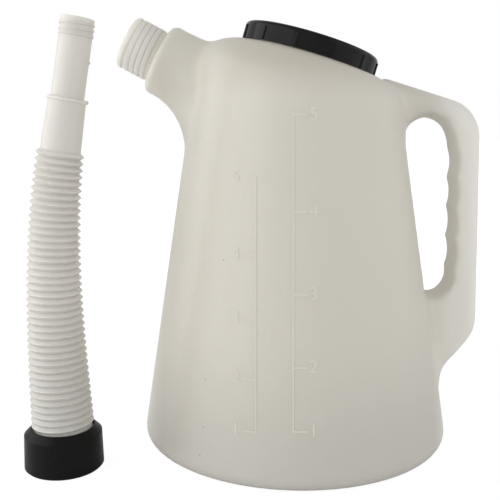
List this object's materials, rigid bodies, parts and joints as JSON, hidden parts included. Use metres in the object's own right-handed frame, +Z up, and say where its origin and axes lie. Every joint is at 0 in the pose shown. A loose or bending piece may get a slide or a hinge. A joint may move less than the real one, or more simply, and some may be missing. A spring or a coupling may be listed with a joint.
{
  "type": "oil measuring jug",
  "caption": "Blow-moulded oil measuring jug with a wide screw lid, a hollow finger grip, a threaded pouring neck and a flexible spout that stands beside it.",
  "frame": {"origin": "middle of the jug's round base, on the surface that it stands on", "axes": "+Z up, +X from the pouring neck towards the handle, +Y away from the side with the litre scale"},
  "size_m": [0.2921, 0.2044, 0.2767],
  "materials": {
    "translucent_white_plastic": "waxy satin",
    "soft_white_plastic": "waxy satin",
    "black_lid_plastic": "gloss",
    "black_collar_plastic": "satin",
    "seal_foam": "matt"
  },
  "bodies": {
    "jug": {"jug_body": "translucent_white_plastic", "spout_tube": "soft_white_plastic"},
    "lid_seal": {"lid_seal": "seal_foam"},
    "lid": {"lid": "black_lid_plastic"},
    "spout_collar": {"spout_collar": "black_collar_plastic"}
  },
  "joints": [
    {"name": "lid_rise", "type": "slide", "parent": "jug", "child": "lid_seal", "axis": [0.2823, 0, 0.9593], "range_m": [0, 0.0061]},
    {"name": "lid_turn", "type": "hinge", "parent": "lid_seal", "child": "lid", "pos_m": [0.0065, 0, 0.2504], "axis": [0.2823, 0, 0.9593], "range_deg": [0, 540]},
    {"name": "collar_spin", "type": "hinge", "parent": "jug", "child": "spout_collar", "pos_m": [-0.146, -0.0615, 0], "axis": [0, 0, 1], "continuous": true}
  ],
  "couplings": [
    {"joint": "lid_rise", "follows": "lid_turn", "m_per_rad": 0.00063662}
  ]
}
